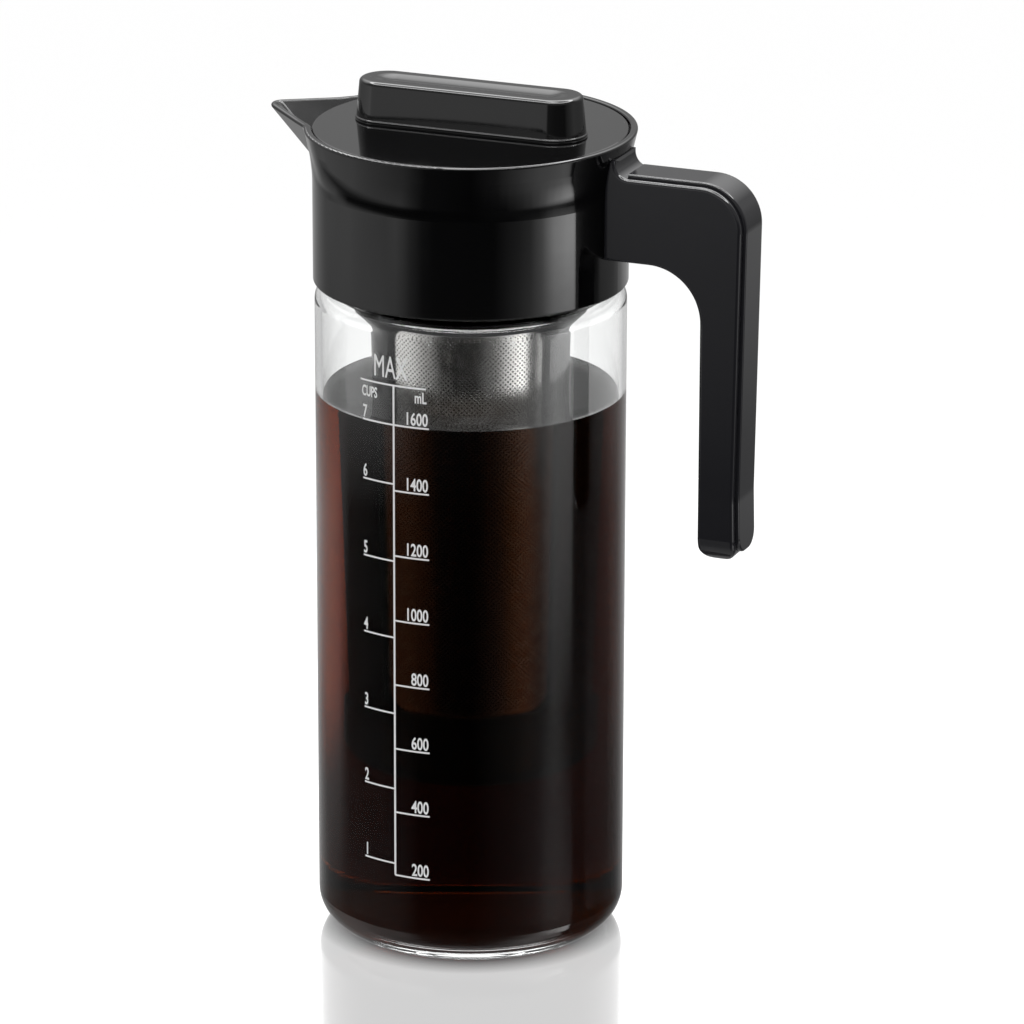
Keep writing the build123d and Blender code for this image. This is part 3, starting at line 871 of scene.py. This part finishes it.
def makeWorld():
    # the camera and clear pieces see white; dull surfaces an even grey; what is mirrored sees the
    # room's bands
    world = bpy.data.worlds.new("studioRoom")
    bpy.context.scene.world = world
    world.use_nodes = True
    world.cycles.sampling_method = "NONE"
    nodes, links = world.node_tree.nodes, world.node_tree.links
    nodes.remove(nodes["Background"])
    rays = nodes.new("ShaderNodeLightPath")
    behindGlass = seenPast(nodes, links, rays, studio["behindGlass"])
    plainRoom = roomSeen(nodes, links, roomBands)
    seen = blended(nodes, links, behindGlass, plainRoom, roomSeen(nodes, links, glassBands))
    sunk = seenPast(nodes, links, rays, studio["inCoffee"])
    kept = ranged(nodes, links, sunk, 1, studio["sunkShare"], 0, 1)
    room = evenBackground(nodes, 1)
    links.new(maths(nodes, links, "MULTIPLY", seen, kept), room.inputs["Strength"])
    plain = evenBackground(nodes, studio["diffuseLevel"]).outputs["Background"]
    white = evenBackground(nodes, 1).outputs["Background"]
    direct = blendedShaders(nodes, links, seenStraight(nodes, links, rays), plain, white)
    mirrored = seenMirrored(nodes, links, rays)
    notDull = maths(nodes, links, "SUBTRACT", 1.0, rays.outputs["Is Diffuse Ray"])
    share = maths(nodes, links, "MULTIPLY", mirrored, notDull)
    shown = blendedShaders(nodes, links, share, direct, room.outputs["Background"])
    links.new(shown, nodes["World Output"].inputs["Surface"])


def paleFloor(name):
    # plain white for dull surfaces, a glow with a faint mirror image for straight rays, its own
    # painted brightness through the coffee and nothing at all for mirrored rays; a painted shadow
    # darkens it under the pitcher
    s = studio
    made, nodes, links, shader = newMaterial(name)
    shader.inputs["Base Color"].default_value = grey(s["floorWhite"])
    shader.inputs["Roughness"].default_value = s["floorRoughness"]
    shader.inputs["Specular IOR Level"].default_value = 0
    mirror = nodes.new("ShaderNodeBsdfGlossy")
    mirror.inputs["Color"].default_value = grey(s["floorMirror"])
    mirror.inputs["Roughness"].default_value = s["mirrorRoughness"]
    turns, axes = turnsRound(nodes, links, "Object")
    squares = [maths(nodes, links, "MULTIPLY", axes.outputs[axis], axes.outputs[axis])
               for axis in "XY"]
    away = maths(nodes, links, "SQRT", maths(nodes, links, "ADD", *squares))
    # painted shadow: the floor's glow and what is seen through the coffee are darkened to
    # shadeLevel inside shadeInner mm of the middle
    paintedShadowFactor = ranged(nodes, links, away, s["shadeLevel"], 1, s["shadeInner"] * mm, s["shadeOuter"] * mm)
    glow = nodes.new("ShaderNodeEmission")
    links.new(maths(nodes, links, "MULTIPLY", paintedShadowFactor, s["floorGlow"]), glow.inputs["Strength"])
    glowing = nodes.new("ShaderNodeAddShader")
    links.new(mirror.outputs["BSDF"], glowing.inputs[0])
    links.new(glow.outputs["Emission"], glowing.inputs[1])
    rays = nodes.new("ShaderNodeLightPath")
    straight = seenStraight(nodes, links, rays)
    dull, shiny = shader.outputs["BSDF"], glowing.outputs["Shader"]
    plain = blendedShaders(nodes, links, straight, dull, shiny)
    # through the coffee it shows an even painted shade close to the pitcher and follows its list of
    # painted light and shade farther off
    farShare = ranged(nodes, links, away, 0, 1, s["nearEnd"] * mm, s["farStart"] * mm)
    farPaintedLevel = bandLevel(nodes, links, turns, paintedFloorThroughCoffee)
    seen = blended(nodes, links, farShare, s["nearPaintedShade"], farPaintedLevel)
    # the painted brightness glows from the floor only for rays that have passed into the coffee
    behind = nodes.new("ShaderNodeEmission")
    links.new(maths(nodes, links, "MULTIPLY", paintedShadowFactor, seen), behind.inputs["Strength"])
    sunk = seenPast(nodes, links, rays, s["inCoffee"])
    shown = blendedShaders(nodes, links, sunk, plain, behind.outputs["Emission"])
    unseen = nodes.new("ShaderNodeBsdfTransparent").outputs["BSDF"]
    last = blendedShaders(nodes, links, seenMirrored(nodes, links, rays), shown, unseen)
    links.new(last, nodes["Material Output"].inputs["Surface"])
    return made


def makeFloor():
    # a flat square sheet with its middle under the object
    half = studio["floorSize"] / 2
    edge = np.array([-half, half])
    x, y = np.meshgrid(edge, edge, indexing="ij")
    mesh = bpy.data.meshes.new("floor")
    corners = np.stack([x, y, 0 * x], 2).reshape(-1, 3)
    mesh.from_pydata(corners.tolist(), [], [(0, 2, 3, 1)])
    floor = intoScene("floor", mesh)
    mesh.materials.append(paleFloor("paleFloor"))


overhead = {
    "power": 9.0,
    "size": (0.55, 0.45),   # metres
    "place": (-0.05, -0.10, 1.45),
    "target": (0, 0, 0.15),
}
view = {
    "place": (0.80883, -1.90854, 0.83849),      # metres
    "down": 18.326,         # degrees that it looks down
    "round": 22.967,        # degrees that it is turned about the upright axis
    "focal": 6190.45,       # pixels of the photograph
    "pictureWidth": 1024,
    "sensorWidth": 36,      # mm
    "shift": 0.0402,
    "clip": (0.1, 60),      # metres
}


def makeLamp(name, lamp):
    # a rectangle of light whose face looks from its place to its target
    data = bpy.data.lights.new(name, "AREA")
    data.energy = lamp["power"]
    data.shape = "RECTANGLE"
    data.size, data.size_y = lamp["size"]
    made = intoScene(name, data)
    made.location = lamp["place"]
    towards = Vector(lamp["target"]) - Vector(lamp["place"])
    made.rotation_euler = towards.to_track_quat("-Z", "Y").to_euler()


def makeCamera():
    # lens in mm = focal length in pixels / width of the picture in pixels x width of the sensor
    v = view
    data = bpy.data.cameras.new("camera")
    camera = intoScene("camera", data)
    camera.location = v["place"]
    camera.rotation_euler = (radians(90 - v["down"]), 0, radians(v["round"]))
    data.sensor_width = v["sensorWidth"]
    data.lens = v["focal"] / v["pictureWidth"] * v["sensorWidth"]
    data.shift_x = v["shift"]
    data.clip_start, data.clip_end = v["clip"]
    bpy.context.scene.camera = camera


makeWorld()
makeFloor()
makeLamp("overhead", overhead)
makeCamera()
bpy.context.scene.view_settings.view_transform = "Standard"
print("studio made")
